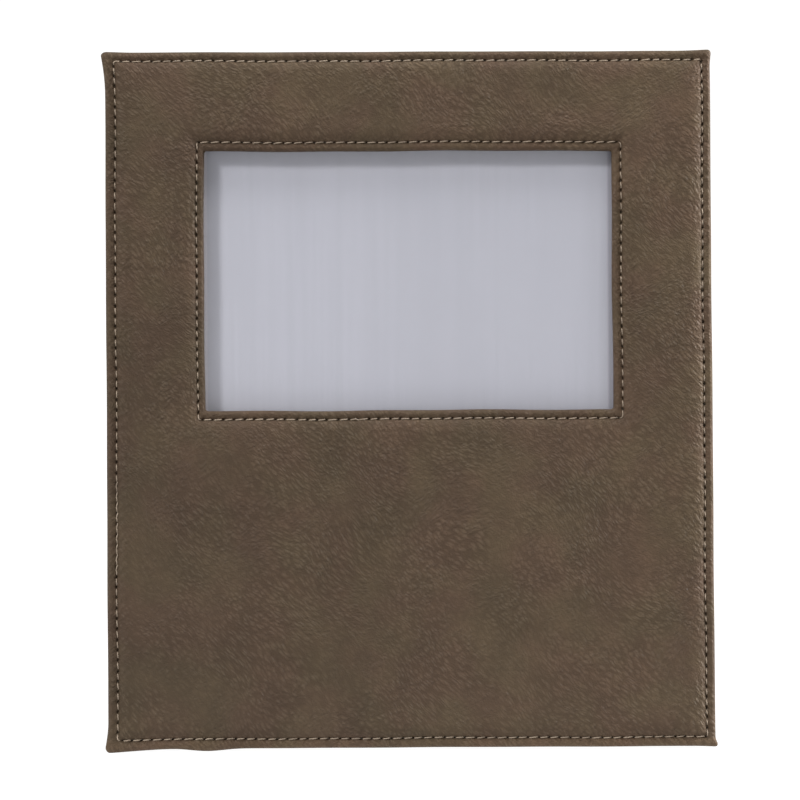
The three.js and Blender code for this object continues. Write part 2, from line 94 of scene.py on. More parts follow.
# Steps of the meshes along their edges and inside them
MESH_STEP = 0.45
INNER_STEP = 1.5
BACK_STEP = 1.5
BACK_INNER_STEP = 3.0
LEG_INNER_STEP = 2.5

# Depths of the wrapped back board on the panel, and its inset from the panel's edge
BACK_FRONT = 8.1
BACK_FACE = 12.5
BACK_INSET = 0.4
BACK_MARGIN = 3.5

# The wrapped easel leg, measured from the hinge's axis
LEG_ANGLE = math.radians(25)
LEG_TOP_WIDTH = 40.0
LEG_FOOT_WIDTH = 78.0
LEG_CORNER = 9.0
LEG_TOP = -3.4
LEG_FOOT = -180.0
LEG_FRONT = -0.5
LEG_FACE = 3.9
LEG_TURN_IN = 7.0
LEG_MARGIN = 4.5

# The panel's place, from the record's mount on the plain lower part of the face
PLAIN_MOUNT_HEIGHT = 58.0
plain = next(m for m in frame["record"]["mounts"] if m["name"] == "plain_panel")
face_normal = Vector(plain["axis"])
LEAN = math.atan2(face_normal.z, -face_normal.y)
UP = Vector((0, math.sin(LEAN), math.cos(LEAN)))
BACK = Vector((0, math.cos(LEAN), -math.sin(LEAN)))
PANEL_ORIGIN = Vector(plain["pos_m"]) - UP * PLAIN_MOUNT_HEIGHT * MM

random = np.random.default_rng(7)


class Place:
    """A flat part's own frame: x to the right, depth towards the back and z up, in millimetres."""

    def __init__(self, origin, back, up):
        self.origin = np.array(origin)
        self.axes = np.array([[1, 0, 0], back, up])

    def world(self, points):
        return np.asarray(points, float) * MM @ self.axes + self.origin


PANEL = Place(PANEL_ORIGIN, BACK, UP)
hinge = next(j for j in frame["record"]["behaviour"]["joints"] if j["name"] == "leg_hinge")
LEG = Place(
    hinge["pos_m"],
    (0, math.cos(LEG_ANGLE), math.sin(LEG_ANGLE)),
    (0, -math.sin(LEG_ANGLE), math.cos(LEG_ANGLE)),
)


def smooth(value):
    value = np.clip(value, 0, 1)
    return value * value * (3 - 2 * value)


def lengths_along(line):
    """The distance along a line of points, at each of them."""
    steps = np.linalg.norm(np.diff(line, axis=0), axis=1)
    return np.concatenate([[0], np.cumsum(steps)])


def panel_inset(x, z):
    """How far a place on the panel lies in from the nearest edge."""
    return np.minimum(PANEL_WIDTH / 2 - np.abs(x), np.minimum(z, PANEL_HEIGHT - z))


def add_piece(name, points, faces, material, body):
    """A shaded piece from points in metres, riding on a CAD body unless that is None."""
    mesh = bpy.data.meshes.new(name)
    mesh.from_pydata(np.asarray(points).tolist(), [], faces)
    mesh.validate()
    mesh.polygons.foreach_set("use_smooth", [True] * len(mesh.polygons))
    mesh.materials.append(material)
    piece = bpy.data.objects.new(name, mesh)
    bpy.context.scene.collection.objects.link(piece)
    if body:
        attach(piece, body)
    return piece


# Materials


class Graph:
    """A short way to build one material's nodes."""

    def __init__(self, name):
        self.material = bpy.data.materials.new(name)
        self.material.use_nodes = True
        self.tree = self.material.node_tree
        self.shader = self.tree.nodes["Principled BSDF"]

    def add(self, kind, settings=None, **inputs):
        made = self.tree.nodes.new(kind)
        for key, value in (settings or {}).items():
            setattr(made, key, value)
        for key, value in inputs.items():
            self.feed(made, key.replace("_", " "), value)
        return made

    def feed(self, target, key, value):
        socket = target.inputs[int(key) if key.isdigit() else key]
        if isinstance(value, bpy.types.NodeSocket):
            self.tree.links.new(value, socket)
        else:
            socket.default_value = value

    def math(self, operation, a, b=0.0):
        made = self.add("ShaderNodeMath", {"operation": operation})
        self.feed(made, "0", a)
        self.feed(made, "1", b)
        return made.outputs[0]

    def ramp(self, value, low, high, to_low=0.0, to_high=1.0):
        made = self.add("ShaderNodeMapRange", {"interpolation_type": "SMOOTHSTEP"}, Value=value)
        for key, number in zip(("From Min", "From Max", "To Min", "To Max"), (low, high, to_low, to_high)):
            made.inputs[key].default_value = number
        return made.outputs[0]

    def mix(self, share, a, b, blend="MIX"):
        made = self.add("ShaderNodeMix", {"data_type": "RGBA", "blend_type": blend})
        self.feed(made, "0", share)
        self.feed(made, "6", a)
        self.feed(made, "7", b)
        return made.outputs[2]

    def place(self, rotation=(0, 0, 0), scale=(1, 1, 1), source=None):
        coords = source or self.add("ShaderNodeTexCoord").outputs["Object"]
        made = self.add("ShaderNodeMapping", Vector=coords)
        made.inputs["Rotation"].default_value = rotation
        made.inputs["Scale"].default_value = scale
        return made.outputs[0]

    def noise(self, vector, scale, detail=3.0, roughness=0.5):
        made = self.add("ShaderNodeTexNoise", Vector=vector, Scale=scale, Detail=detail)
        made.inputs["Roughness"].default_value = roughness
        return made.outputs["Fac"]

    def bump(self, height, distance):
        made = self.add("ShaderNodeBump", Height=height, Distance=distance, Strength=1.0)
        self.tree.links.new(made.outputs[0], self.shader.inputs["Normal"])

    def set(self, **values):
        for key, value in values.items():
            self.feed(self.shader, key.replace("_", " "), value)
        return self.material


GREENISH = (0.097, 0.066, 0.037, 1)
REDDISH = (0.099, 0.061, 0.037, 1)
# Painted shade in the grain's creases, and a painted highlight on its crests
CREASE_SHADE = (0.042, 0.026, 0.015, 1)
CREST_HIGHLIGHT = (0.16, 0.117, 0.078, 1)
# Painted shade in the needle holes and along the seams' grooves
HOLE_SHADE = (0.008, 0.005, 0.003, 1)
# Painted light: the rim is painted a little paler along the foot, where the light falls on it; this fades
# out between these two heights
FOOT_PAINTED_LIGHT = tuple(UP.dot(PANEL_ORIGIN) + height for height in (0.0024, 0.0036))


def leather_material(name, with_painted_light):
    """Mottled brown leatherette: a swirling net of creases that fades in and out, over fine pebbles, with
    painted shade in the creases and a painted highlight on the crests.
    """
    g = Graph(name)
    upright = g.place(rotation=(LEAN, 0, 0))

    def bent(source, scale, amount):
        drift = g.add("ShaderNodeTexNoise", Vector=source, Scale=scale, Detail=1.0)
        made = g.add("ShaderNodeVectorMath", {"operation": "MULTIPLY_ADD"})
        g.feed(made, "0", drift.outputs["Color"])
        g.feed(made, "1", (amount, amount, amount))
        g.feed(made, "2", source)
        return made.outputs[0]

    flow = bent(bent(upright, 24.0, 0.016), 260.0, 0.0014)

    def creases(angle, stretch, scale):
        turned = g.place(rotation=(0, math.radians(angle), 0), source=flow)
        drawn = g.place(scale=(stretch, 1, 1), source=turned)
        cell = g.add("ShaderNodeTexVoronoi", {"feature": "F1"}, Vector=drawn, Scale=scale)
        return g.ramp(cell.outputs["Distance"], 0.1, 0.7, 1.0, 0.0)

    main = creases(-44, 0.4, 980.0)
    cross = creases(34, 0.5, 860.0)
    fine = creases(-20, 0.75, 2000.0)
    cluster = g.ramp(g.noise(upright, 55.0, 2.0), 0.36, 0.6, 0.42, 1.0)
    other = g.ramp(g.noise(upright, 80.0, 2.0), 0.4, 0.62, 0.2, 0.9)
    grain = g.noise(upright, 2600.0, 2.0, 0.6)
    waves = g.math("ADD", g.math("MULTIPLY", main, cluster), g.math("MULTIPLY", cross, other))
    waves = g.math("ADD", waves, g.math("MULTIPLY", fine, 0.35))
    height = g.math("ADD", waves, g.math("MULTIPLY", grain, 0.25))
    g.bump(height, 0.0002)
    # Where the painted shade of the creases and the painted highlight of the crests fall
    crease = g.math("MULTIPLY", g.ramp(main, 0.0, 0.4, 1.0, 0.0), cluster)
    crest_highlight = g.math("MULTIPLY", g.ramp(main, 0.6, 1.0), cluster)
    tone = g.mix(g.ramp(g.noise(upright, 48.0, 2.0, 0.5), 0.36, 0.64), GREENISH, REDDISH)
    cloud = g.ramp(g.noise(upright, 34.0, 2.0, 0.55), 0.3, 0.7, 0.91, 1.09)
    patch = g.ramp(g.noise(upright, 130.0, 3.0, 0.6), 0.3, 0.7, 0.93, 1.07)
    speck = g.ramp(grain, 0.3, 0.7, 0.9, 1.1)
    light = g.math("MULTIPLY", g.math("MULTIPLY", cloud, patch), speck)
    if with_painted_light:
        spot = g.add("ShaderNodeSeparateXYZ", Vector=upright)
        # Painted light: the skin is made darker towards the lower left and lighter towards the upper right,
        # as the right lamp's sheen
        painted_shading = g.math("ADD", g.math("MULTIPLY", spot.outputs["X"], 1.2), spot.outputs["Z"])
        light = g.math("MULTIPLY", light, g.ramp(painted_shading, -0.16, 0.34, 0.74, 1.02))
        # Painted light along the foot's rim
        light = g.math("MULTIPLY", light, g.ramp(spot.outputs["Z"], *FOOT_PAINTED_LIGHT, 1.38, 1.0))
    grey = g.add("ShaderNodeCombineColor")
    for key in ("Red", "Green", "Blue"):
        g.feed(grey, key, light)
    tone = g.mix(1.0, tone, grey.outputs[0], "MULTIPLY")
    # Painted shade in the creases and a painted highlight on the crests
    tone = g.mix(g.math("MULTIPLY", crease, 0.32), tone, CREASE_SHADE)
    tone = g.mix(g.math("MULTIPLY", crest_highlight, 0.22), tone, CREST_HIGHLIGHT)
    # Painted shade in the needle holes and along the seams' grooves, from the hole attribute
    if with_painted_light:
        hole = g.add("ShaderNodeAttribute", {"attribute_name": "hole"}).outputs["Fac"]
        tone = g.mix(hole, tone, HOLE_SHADE)
    rough = g.ramp(g.math("ADD", grain, crease), 0.2, 1.4, 0.55, 0.7)
    return g.set(Base_Color=tone, Roughness=rough, Specular_IOR_Level=0.25)


def thread_material():
    g = Graph("sewing_thread")
    coords = g.place(rotation=(LEAN, 0, 0))
    fibre = g.noise(coords, 5200.0, 2.0, 0.6)
    uneven = g.noise(coords, 90.0, 2.0)
    tone = g.mix(g.ramp(fibre, 0.3, 0.7), (0.28, 0.21, 0.145, 1), (0.5, 0.4, 0.3, 1))
    tone = g.mix(g.ramp(uneven, 0.35, 0.7, 0.0, 0.5), tone, (0.19, 0.14, 0.1, 1))
    g.bump(fibre, 0.00004)
    g.shader.inputs["Sheen Weight"].default_value = 0.25
    return g.set(Base_Color=tone, Roughness=g.ramp(fibre, 0.2, 0.8, 0.6, 0.8))


# Down the window's left side the sheet carries a painted highlight, along its right side a narrow grey
# band, and in the window's upper right corner a painted shadow darkens the top of that band
RIGHT_BAND_X = 0.0684
LEFT_HIGHLIGHT = (-0.0703, -0.0696)
SHADOW_SLIT_SIDE = (0.069, 0.0694)
SHADOW_SLIT_FOOT = (0.2006, 0.2014)


def insert_material():
    """Smooth light grey card with faint upright streaks and tiny specks, and painted light and shade along
    the window's sides.
    """
    g = Graph("grey_card")
    coords = g.place(rotation=(LEAN, 0, 0))
    streaks = g.noise(g.place(scale=(1, 1, 0.02), source=coords), 420.0, 2.0, 0.6)
    cloud = g.noise(coords, 25.0, 2.0)
    specks = g.ramp(g.noise(coords, 2300.0, 1.0), 0.7, 0.78)
    tone = g.mix(g.ramp(streaks, 0.3, 0.7), (0.45, 0.45, 0.513, 1), (0.475, 0.475, 0.541, 1))
    tone = g.mix(g.ramp(cloud, 0.35, 0.65, 0.0, 0.35), tone, (0.448, 0.446, 0.505, 1))
    tone = g.mix(g.math("MULTIPLY", specks, 0.4), tone, (0.3, 0.3, 0.34, 1))
    across = g.add("ShaderNodeSeparateXYZ", Vector=coords)
    # A narrow darker grey band along the window's right side
    beside = g.ramp(across.outputs["X"], RIGHT_BAND_X, RIGHT_BAND_X + 0.0012)
    tone = g.mix(beside, tone, (0.29, 0.28, 0.33, 1))
    # Painted shadow: near black at the top of that band, in the window's upper right corner, where the
    # upper lip's shadow falls
    painted_shading = g.ramp(across.outputs["X"], *SHADOW_SLIT_SIDE), g.ramp(across.outputs["Z"], *SHADOW_SLIT_FOOT)
    tone = g.mix(g.math("MULTIPLY", *painted_shading), tone, (0.03, 0.027, 0.03, 1))
    # Painted highlight: a pale line down the window's left side, for the lit left wall of the recess
    painted_highlight = g.ramp(across.outputs["X"], *LEFT_HIGHLIGHT, 1.0, 0.0)
    tone = g.mix(g.math("MULTIPLY", painted_highlight, 0.6), tone, (0.68, 0.64, 0.68, 1))
    g.bump(streaks, 0.00001)
    return g.set(Base_Color=tone, Roughness=g.ramp(cloud, 0.3, 0.7, 0.5, 0.6))


def pane_material():
    g = Graph("clear_pane")
    haze = g.noise(g.place(), 60.0, 3.0)
    g.material.surface_render_method = "BLENDED"
    g.shader.inputs["Alpha"].default_value = 0.07
    tone = g.mix(haze, (0.8, 0.82, 0.86, 1), (0.9, 0.91, 0.93, 1))
    return g.set(Base_Color=tone, Roughness=g.ramp(haze, 0.3, 0.7, 0.05, 0.12))


def board_material(name, dark, light, scale):
    """Fibrous board, paper or foam: two tones, with flecks and a fine tooth."""
    g = Graph(name)
    coords = g.place(rotation=(LEAN, 0, 0))
    fibre = g.noise(coords, scale, 4.0, 0.7)
    fleck = g.ramp(g.noise(coords, scale / 5, 2.0), 0.6, 0.7)
    tone = g.mix(g.ramp(fibre, 0.3, 0.7), dark, light)
    tone = g.mix(g.math("MULTIPLY", fleck, 0.4), tone, dark)
    g.bump(fibre, 0.00006)
    return g.set(Base_Color=tone, Roughness=g.ramp(fibre, 0.2, 0.8, 0.8, 0.95))


def metal_material():
    """Satin nickel, brushed across the hinge, a little duller in patches."""
    g = Graph("satin_nickel")
    brushed = g.noise(g.place(scale=(0.03, 1, 1)), 3000.0, 3.0, 0.6)
    worn = g.noise(g.place(), 220.0, 3.0)
    tone = g.mix(g.ramp(worn, 0.35, 0.7), (0.66, 0.63, 0.57, 1), (0.5, 0.47, 0.42, 1))
    g.bump(brushed, 0.000012)
    g.shader.inputs["Metallic"].default_value = 1.0
    return g.set(Base_Color=tone, Roughness=g.ramp(brushed, 0.2, 0.8, 0.24, 0.4))


def ribbon_material():
    g = Graph("ribbed_ribbon")
    coords = g.place()
    ribs = g.add("ShaderNodeTexWave", {"bands_direction": "Y"}, Vector=coords, Scale=700.0)
    fibre = g.noise(coords, 4200.0, 2.0)
    tone = g.mix(ribs.outputs["Fac"], (0.035, 0.024, 0.016, 1), (0.1, 0.072, 0.05, 1))
    tone = g.mix(g.ramp(fibre, 0.4, 0.7, 0.0, 0.4), tone, (0.14, 0.105, 0.075, 1))
    g.bump(ribs.outputs["Fac"], 0.00008)
    g.shader.inputs["Specular IOR Level"].default_value = 0.25
    return g.set(Base_Color=tone, Roughness=g.ramp(fibre, 0.2, 0.8, 0.75, 0.9))


front_leather = leather_material("leatherette_front", True)
plain_leather = leather_material("leatherette_plain", False)
thread = thread_material()
metal = metal_material()

# The padded front: stitched bands round the edge and the window, and the plain skin between them


ARC_STEPS = 6


def hull_ring(centres, radius, counts):
    """Points anticlockwise round circles of one radius, with a given number of steps along each side."""
    centres = np.asarray(centres, float)
    ahead = np.roll(centres, -1, axis=0) - centres
    facing = np.arctan2(ahead[:, 1], ahead[:, 0]) - np.pi / 2
    arcs = []
    for index, centre in enumerate(centres):
        turn = np.mod(facing[index] - facing[index - 1], 2 * np.pi)
        angles = facing[index - 1] + turn * np.linspace(0, 1, ARC_STEPS + 1)
        arcs.append(centre + radius * np.column_stack([np.cos(angles), np.sin(angles)]))
    points = []
    for index, count in enumerate(counts):
        start, end = arcs[index][-1], arcs[(index + 1) % len(arcs)][0]
        share = (np.arange(1, count) / count)[:, None]
        points += [arcs[index], start + (end - start) * share]
    return np.vstack(points)


def box_ring(half_x, half_z, middle, radius, step, sides):
    """A rounded rectangle; its number of steps depends only on the full size of its sides."""
    x, z = half_x - radius, half_z - radius
    centres = [(-x, middle - z), (x, middle - z), (x, middle + z), (-x, middle + z)]
    counts = [round(side / step) for side in sides]
    return hull_ring(centres, radius, counts * 2)


def outer_ring(inset, step=MESH_STEP):
    radius = np.interp(inset, [0, SEAM_INSET, BAND_END], [CORNER_RADIUS, SEAM_RADIUS, INNER_RADIUS])
    half = PANEL_WIDTH / 2 - inset, PANEL_HEIGHT / 2 - inset
    return box_ring(*half, PANEL_HEIGHT / 2, radius, step, (PANEL_WIDTH, PANEL_HEIGHT))


def back_ring(inset):
    return outer_ring(inset, BACK_STEP)


def window_ring(outset):
    places = [0, WINDOW_SEAM, WINDOW_BAND_END]
    radius = np.interp(outset, places, [WINDOW_RADIUS, SEAM_RADIUS, INNER_RADIUS])
    half = WINDOW_WIDTH / 2 + outset, WINDOW_HEIGHT / 2 + outset
    return box_ring(*half, WINDOW_CENTRE, radius, MESH_STEP, (WINDOW_WIDTH, WINDOW_HEIGHT))


def leg_ring(inset):
    foot, top = LEG_FOOT + LEG_CORNER, LEG_TOP - LEG_CORNER
    wide, narrow = LEG_FOOT_WIDTH / 2 - LEG_CORNER, LEG_TOP_WIDTH / 2 - LEG_CORNER
    centres = [(-wide, foot), (wide, foot), (narrow, top), (-narrow, top)]
    return hull_ring(centres, LEG_CORNER - inset, [40, 100, 20, 100])


class Seam:
    """One stitched line: the band it holds down, its path, its needle holes, and how they pull the skin."""

    def __init__(self, ring, inset, rolled, flank, band_end):
        self.ring, self.inset, self.rolled, self.flank, self.band_end = ring, inset, rolled, flank, band_end
        path = ring(inset)
        self.path = np.vstack([path, path[:1]])
        self.at = lengths_along(self.path)
        self.length = self.at[-1]
        count = round(self.length / STITCH_PITCH)
        jitter = random.normal(0, 0.12, count)
        even = (np.arange(count) + 0.5) * self.length / count + jitter
        self.holes = self.at[np.abs(self.at[:, None] - even).argmin(axis=0)]
        self.pull = random.uniform(0.55, 1.25, count)

    def point(self, along):
        along = np.mod(along, self.length)
        x = np.interp(along, self.at, self.path[:, 0])
        z = np.interp(along, self.at, self.path[:, 1])
        return np.column_stack([x, z])

    def heading(self, along):
        ahead = self.point(along + 0.6) - self.point(along - 0.6)
        return ahead / np.linalg.norm(ahead, axis=1)[:, None]

    def nearest(self, along):
        """Distance to the nearest needle hole, and how strongly that hole pulls."""
        gap = np.abs(along[:, None] - self.holes[None, :])
        gap = np.minimum(gap, self.length - gap)
        index = gap.argmin(axis=1)
        return gap[np.arange(len(along)), index], self.pull[index]


outer_seam = Seam(outer_ring, SEAM_INSET, (RIM_WIDTH, RIM_ROUND), PAD_FLANK, BAND_END)
window_seam = Seam(window_ring, WINDOW_SEAM, (LIP_WIDTH, LIP_ROUND), WINDOW_FLANK, WINDOW_BAND_END)

# Each corner's ear: sideways, endways and how far it runs along each side
EARS = {
    (-1, 1): (1.55, 0.45, 15.0, 9.0),
    (1, 1): (0.6, 0.7, 6.0, 12.0),
    (-1, -1): (1.3, 2.3, 9.0, 25.0),
    (1, -1): (1.5, 0.45, 3.2, 7.0),
}
# An ear bends the skin this far in from the corner's two edges; this share of its sideways size shows
# in the outline, and so much of it is gone at the skin's back
EAR_REACH = 7.0
EAR_SHOWN = 0.64
EAR_FADE = 0.7
# How far the stitched lines wander inwards from the edge at the left, foot and top, and outwards
# from the window at its right
LEFT_WANDER = 0.44
FOOT_WANDER = 0.4
TOP_WANDER = 0.23
WINDOW_WANDER = 0.41
# The top and bottom lips lean into the window, and the left one stands back and shows the painted highlight
# on the sheet beside it; either shift dies out this far from the window
LIP_GROWTH = 0.28
LEFT_LIP = 0.35
LIP_REACH = 1.1
# A bulge in the lower edge: its middle, its half-width and its size
BULGE = (-70.5, 8.0, 0.95)
# The right side runs outwards towards the foot, the top edge dips to the right, and the skin stays
# just off the floor
SKEW = 0.8
TILT = 0.2
FLOOR_GAP = 0.03


def wander(gap, seam_at):
    """A shift that grows from an edge to its seam and dies out beyond it."""
    share = np.clip(gap, 0, None) / seam_at
    return share * np.exp(1 - share)


def bunch_corners(points, x, depth, z):
    """Pulls the corners out into ears, and lets the lower edge bulge."""
    for (side, end), (out, down, run_z, run_x) in EARS.items():
        from_side = np.clip(PANEL_WIDTH / 2 - side * x, 0, None)
        from_end = np.clip(PANEL_HEIGHT - z if end > 0 else z, 0, None)
        across = np.clip(1 - from_side / EAR_REACH, 0, 1) ** 2 * np.clip(1 - from_end / run_z, 0, 1) ** 2
        endways = np.clip(1 - from_end / EAR_REACH, 0, 1) ** 2 * np.clip(1 - from_side / run_x, 0, 1) ** 1.4
        fade = 1 - EAR_FADE * np.clip(depth / FRONT_BACK, 0, 1)
        points[:, 0] += side * out * across * fade / EAR_SHOWN
        points[:, 2] += end * down * endways * fade
    near_foot = np.clip(1 - z / 6, 0, 1) ** 1.5 * smooth((depth - 0.8) / 1.2)
    middle, half_width, size = BULGE
    points[:, 2] -= size * np.exp(-(((x - middle) / half_width) ** 2)) * near_foot


def shift_lines(points, x, z):
    """Moves the stitched lines and the window's lips a little off their straight paths."""
    points[:, 0] += LEFT_WANDER * wander(PANEL_WIDTH / 2 + x, SEAM_INSET)
    points[:, 2] += FOOT_WANDER * wander(z, SEAM_INSET)
    points[:, 2] -= TOP_WANDER * wander(PANEL_HEIGHT - z, SEAM_INSET)
    level = smooth((WINDOW_HEIGHT / 2 + 4 - np.abs(z - WINDOW_CENTRE)) / 3)
    points[:, 0] += WINDOW_WANDER * wander(x - WINDOW_WIDTH / 2, WINDOW_SEAM) * level
    above = np.abs(z - WINDOW_CENTRE) - WINDOW_HEIGHT / 2
    nearby = smooth((WINDOW_WIDTH / 2 + 3 - np.abs(x)) / 3)
    nearby = nearby * np.exp(-((np.clip(above, 0, None) / LIP_REACH) ** 2))
    points[:, 2] -= LIP_GROWTH * np.sign(z - WINDOW_CENTRE) * nearby * (above > -1)
    beside = np.exp(-((np.clip(-WINDOW_WIDTH / 2 - x, 0, None) / LIP_REACH) ** 2))
    points[:, 0] -= LEFT_LIP * beside * (x < 1 - WINDOW_WIDTH / 2) * level


def settle(points):
    """The hand-made unevenness of the skin: bunched corners, shifted seams and slightly wavy lines."""
    points = np.array(points, float)
    x, depth, z = points.T.copy()
    bunch_corners(points, x, depth, z)
    shift_lines(points, x, z)
    wave_x = 0.13 * np.sin(z / 17 + 1.3) + 0.09 * np.sin(z / 7.3 + x / 40)
    wave_z = 0.12 * np.sin(x / 15 + 0.4) + 0.09 * np.sin(x / 6.1 + z / 35)
    inside = smooth(panel_inset(x, z) / 2.5)
    points[:, 0] += wave_x * (0.35 + 0.65 * inside)
    points[:, 2] += wave_z * (0.35 + 0.65 * inside)
    points[:, 0] += (SKEW * (0.4 - z / PANEL_HEIGHT)) * smooth(x / (PANEL_WIDTH / 2))
    points[:, 2] -= TILT * x / (PANEL_WIDTH / 2) * smooth(2 * z / PANEL_HEIGHT - 1)
    lowest = (depth * math.sin(LEAN) - PANEL_ORIGIN.z / MM + FLOOR_GAP) / math.cos(LEAN)
    points[:, 2] = np.maximum(points[:, 2], lowest)
    return points


def undulation(x, z):
    """The padded skin's slow rise and fall."""
    broad = np.sin(x / 19 + 1.1 * np.sin(z / 23)) * np.sin(z / 21 + 0.7)
    small = np.sin(x / 6.3 + 2.1 * np.sin(z / 9)) * np.sin(z / 5.7 + np.sin(x / 8))
    return 0.06 * broad + 0.035 * small


def rounded_fall(distance, width, height):
    """Depth of a rolled edge at a distance in from it."""
    across = np.clip((width - distance) / width, 0, 1)
    return height * (1 - np.sqrt(np.clip(1 - across**2, 0, 1)))


# The groove's line, the needle holes in it, and the puckers that the stitches pull on both sides
LINE_WIDTH = 0.4
HOLE_LENGTH = 0.33
HOLE_WIDTH = 0.26
HOLE_DEPTH = 0.9
PUCKER_DEPTH = 0.2
PUCKER_OUTSIDE = 1.1
PUCKER_INSIDE = 1.7


def skin_depth(distance, along, seam):
    """Depth of the stitched skin at a distance in from its edge, and the painted shade of its needle holes
    and groove.
    """
    gap, pull = seam.nearest(along)
    off = distance - seam.inset
    past = max(off, 0)
    fall = GROOVE_FALL * smooth((distance - 0.25 * seam.inset) / (0.75 * seam.inset))
    depth = RIM_DROP + rounded_fall(distance, *seam.rolled) + fall
    left_over = (1 - past / (seam.band_end - seam.inset)) ** 1.5 * math.exp(-past / seam.flank)
    pad = (1 - left_over) * smooth(off / LINE_WIDTH)
    depth = depth * (1 - pad) + undulation(along, np.full(len(along), seam.inset)) * pad * 0.5
    slow = 0.5 + 0.5 * np.sin(along / 13.0 + 2 * np.sin(along / 31.0))
    line = math.exp(-((off / LINE_WIDTH) ** 2))
    depth += (0.04 + 0.08 * slow) * line
    hole = np.exp(-((gap / HOLE_LENGTH) ** 2)) * math.exp(-((off / HOLE_WIDTH) ** 2))
    depth += HOLE_DEPTH * pull * hole
    reach = PUCKER_OUTSIDE if off < 0 else PUCKER_INSIDE
    between = np.cos(np.pi * np.clip(gap / (STITCH_PITCH / 2), 0, 1))
    depth += PUCKER_DEPTH * pull * between * math.exp(-abs(off) / reach) * min(distance / 0.8, 1)
    # The second value is painted shade: dark in the needle holes and faint along the groove's line
    return depth, np.clip(1.1 * hole + 0.06 * line, 0, 1)


def band(distances, seam):
    """Rings of a stitched band, from its edge inwards, as panel points and the painted shade of holes and
    groove.
    """
    layers, dark = [], []
    for distance in distances:
        flat = seam.ring(distance)
        depth, hole = skin_depth(distance, seam.at[:-1], seam)
        layers.append(np.column_stack([flat[:, 0], depth, flat[:, 1]]))
        dark.append(hole)
    return layers, dark


def ring_faces(first, second, count):
    """Quads between two rings of the same length, given their first vertex numbers."""
    index = np.arange(count)
    after = (index + 1) % count
    return np.column_stack([first + index, first + after, second + after, second + index]).tolist()


EDGE_DISTANCES = [0.0, 0.12, 0.4, 0.8, 1.25, 1.7, 2.1, 2.4, 2.65, 2.85, 3.0, 3.15, 3.4, 3.7, 4.1]
EDGE_DISTANCES += [4.6, 5.2, 5.9, 6.7, 7.7, BAND_END]
LIP_DISTANCES = [0.0, 0.12, 0.4, 0.8, 1.2, 1.6, 1.95, 2.25, 2.5, 2.7, 2.9, 3.15, 3.5, 4.0, 4.6]
LIP_DISTANCES += [5.3, 6.1, 7.0, WINDOW_BAND_END]


def wide_enough(places, face):
    """Whether a flat triangle is more than a sliver along a straight edge."""
    first, second, third = (places[i] for i in face)
    return abs((second - first).cross(third - first)) > 0.01


class Skin:
    """A turned-over skin: rings from the hidden flange outwards and in again, then a filled face."""

    def __init__(self, facing_back=False):
        # Each point's dark value is its painted shade, which the material reads as the hole attribute
        self.points, self.dark, self.faces = [], [], []
        self.facing_back = facing_back

    def add_faces(self, faces, flip):
        self.faces.extend([face[::-1] for face in faces] if flip != self.facing_back else faces)

    def rings(self, layers, dark=None, flip=False):
        """Adds rings, and returns where the last one starts and how long it is."""
        first, count = len(self.points), len(layers[0])
        for number, layer in enumerate(layers):
            self.points.extend(layer.tolist())
            self.dark.extend((np.zeros(count) if dark is None else dark[number]).tolist())
            if number:
                start = first + number * count
                self.add_faces(ring_faces(start - count, start, count), flip)
        return first + (len(layers) - 1) * count, count

    def fill(self, outline, hole, inner, depth):
        """Fills the face inside a ring, round a hole's ring, with triangles over given inner points."""
        bounds = [outline] + ([hole] if hole else [])
        known = [first + i for first, count in bounds for i in range(count)]
        flat = [Vector((self.points[i][0], self.points[i][2])) for i in known]
        flat += [Vector(p) for p in inner]
        edges, start = [], 0
        for _, count in bounds:
            edges += [(start + i, start + (i + 1) % count) for i in range(count)]
            start += count
        made = geometry.delaunay_2d_cdt(flat, edges, [], 0, 1e-7)
        number = []
        for place, origins in zip(made[0], made[3]):
            if origins[0] < len(known):
                number.append(known[origins[0]])
            else:
                number.append(len(self.points))
                self.points.append([place[0], depth, place[1]])
                self.dark.append(0.0)
        inside = set(range(hole[0], sum(hole))) if hole else set()
        faces = [[number[i] for i in face] for face in made[2] if wide_enough(made[0], face)]
        self.add_faces([face for face in faces if not inside.issuperset(face)], False)


def flange(ring, steps):
    """Flat rings of a turned edge, from distance and depth pairs."""
    return [np.insert(ring(distance), 1, depth, axis=1) for distance, depth in steps]


def scatter(half_x, low, high, step):
    """Inner points of a face, on a jittered grid."""
    columns = np.arange(-half_x + step, half_x - step / 2, step)
    rows = np.arange(low + step, high - step / 2, step)
    grid = np.array([[x, z] for z in rows for x in columns])
    return grid + random.uniform(-0.3, 0.3, grid.shape) * step


